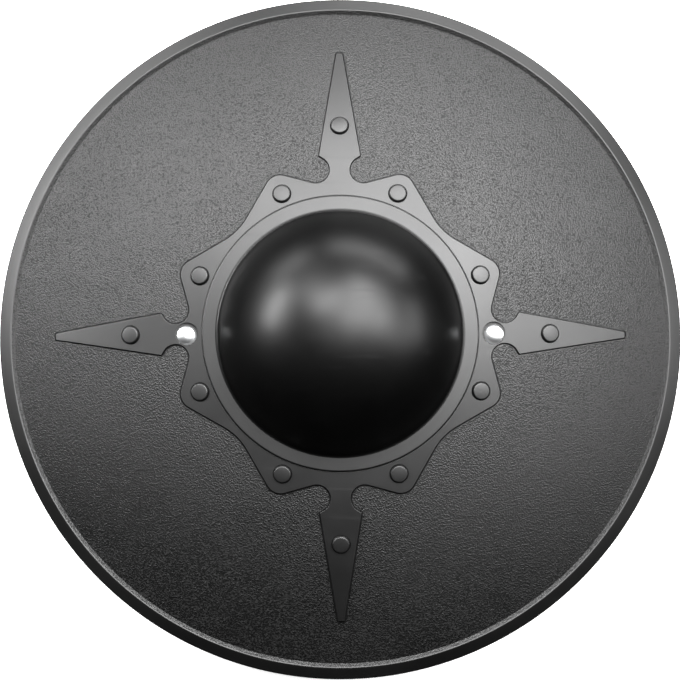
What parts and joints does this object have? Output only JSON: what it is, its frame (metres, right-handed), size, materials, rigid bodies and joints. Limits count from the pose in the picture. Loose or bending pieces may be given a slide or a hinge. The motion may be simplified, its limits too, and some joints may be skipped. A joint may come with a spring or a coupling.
{
  "type": "targe",
  "caption": "Round dished training shield of black moulded plastic, with a hollow domed boss, a raised star of spear-shaped arms, moulded rivets and a bolted grip behind.",
  "frame": {"origin": "on the floor under the middle of the shield, which lies face up on the lip of its rim", "axes": "+Z out of the face, through the top of the boss; +X along the grip, towards the bolt at the picture's right; +Y towards the picture's top"},
  "size_m": [0.5366, 0.5366, 0.1359],
  "materials": {
    "shell_plastic": "black polypropylene: fine pebble grain on the face, satin on the rim, star and collar, semi-gloss on the boss",
    "grip_plastic": "black polypropylene, fine matt texture",
    "plated_steel": "bright plating"
  },
  "bodies": {
    "root": {"shell": "shell_plastic", "grip": "grip_plastic", "bolt_left": "plated_steel", "bolt_right": "plated_steel", "washer_left": "plated_steel", "washer_right": "plated_steel", "nut_left": "plated_steel", "nut_right": "plated_steel"}
  },
  "joints": []
}
